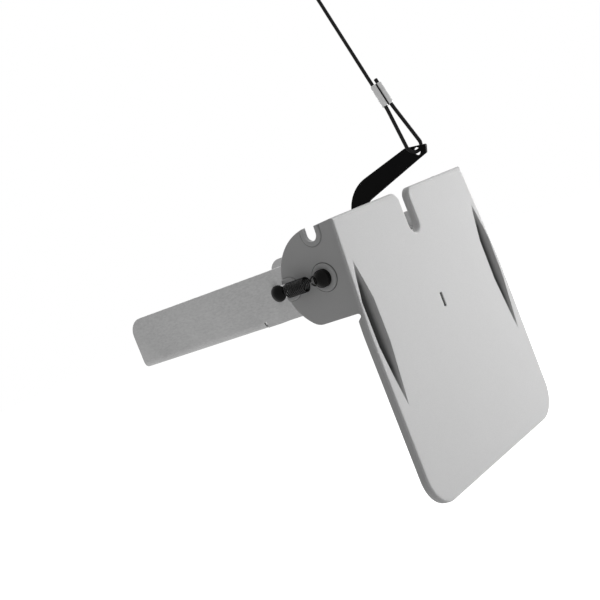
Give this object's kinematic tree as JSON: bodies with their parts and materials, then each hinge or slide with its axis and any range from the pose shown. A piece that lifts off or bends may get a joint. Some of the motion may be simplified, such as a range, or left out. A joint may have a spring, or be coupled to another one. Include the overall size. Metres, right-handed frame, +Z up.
{
  "type": "trolling plate",
  "caption": "Sprung flap on side arms for a small outboard motor: it hangs in the propeller's wash to slow a boat and swings up when its latch gives way or its cable is pulled.",
  "frame": {"origin": "middle of the four bolt slots, on the underside of the arms' flanges", "axes": "+X starboard, +Y forward towards the boat, +Z up"},
  "size_m": [0.246, 0.2812, 0.4859],
  "materials": {
    "plate_paint": "satin powder coat",
    "arm_steel": "satin stainless sheet",
    "lever_black": "black powder coat",
    "stainless": "turned stainless",
    "bush_plastic": "moulded nylon",
    "cap_black": "moulded",
    "spring_steel": "black coated spring wire",
    "cable_black": "vinyl coated wire rope",
    "ferrule_metal": "crimped"
  },
  "bodies": {
    "arms": {"port_arm": "arm_steel", "starboard_arm": "arm_steel", "port_spring": "spring_steel", "starboard_spring": "spring_steel", "latch_studs": "stainless", "stud_caps": "cap_black", "stud_washers": "stainless", "stud_nuts": "stainless"},
    "hinge": {"cross_axle": "stainless", "port_lever_collar": "bush_plastic", "starboard_lever_collar": "bush_plastic", "axle_washers": "stainless", "retaining_clips": "stainless", "axle_caps": "cap_black"},
    "plate": {"trolling_plate": "plate_paint", "lever": "lever_black", "port_bush": "bush_plastic", "starboard_bush": "bush_plastic"},
    "cable": {"cable_eye": "cable_black", "cable_ferrule": "ferrule_metal", "lift_cable": "cable_black", "end_ferrule": "ferrule_metal", "end_eye": "cable_black"}
  },
  "joints": [
    {"name": "hinge_release", "type": "slide", "parent": "arms", "child": "hinge", "axis": [0, -1, 0], "range_m": [0, 0.011], "stiffness_N_per_m": 2400, "springref_m": -0.012, "deforming": ["port_spring", "starboard_spring"]},
    {"name": "plate_swing", "type": "hinge", "parent": "hinge", "child": "plate", "pos_m": [0, -0.139, 0.024], "axis": [-1, 0, 0], "range_deg": [0, 90]},
    {"name": "cable_swing", "type": "hinge", "parent": "plate", "child": "cable", "pos_m": [0, -0.1927, 0.0893], "axis": [-1, 0, 0], "range_deg": [-90, 0]}
  ],
  "couplings": [
    {"joint": "cable_swing", "follows": "plate_swing", "ratio": -1}
  ]
}
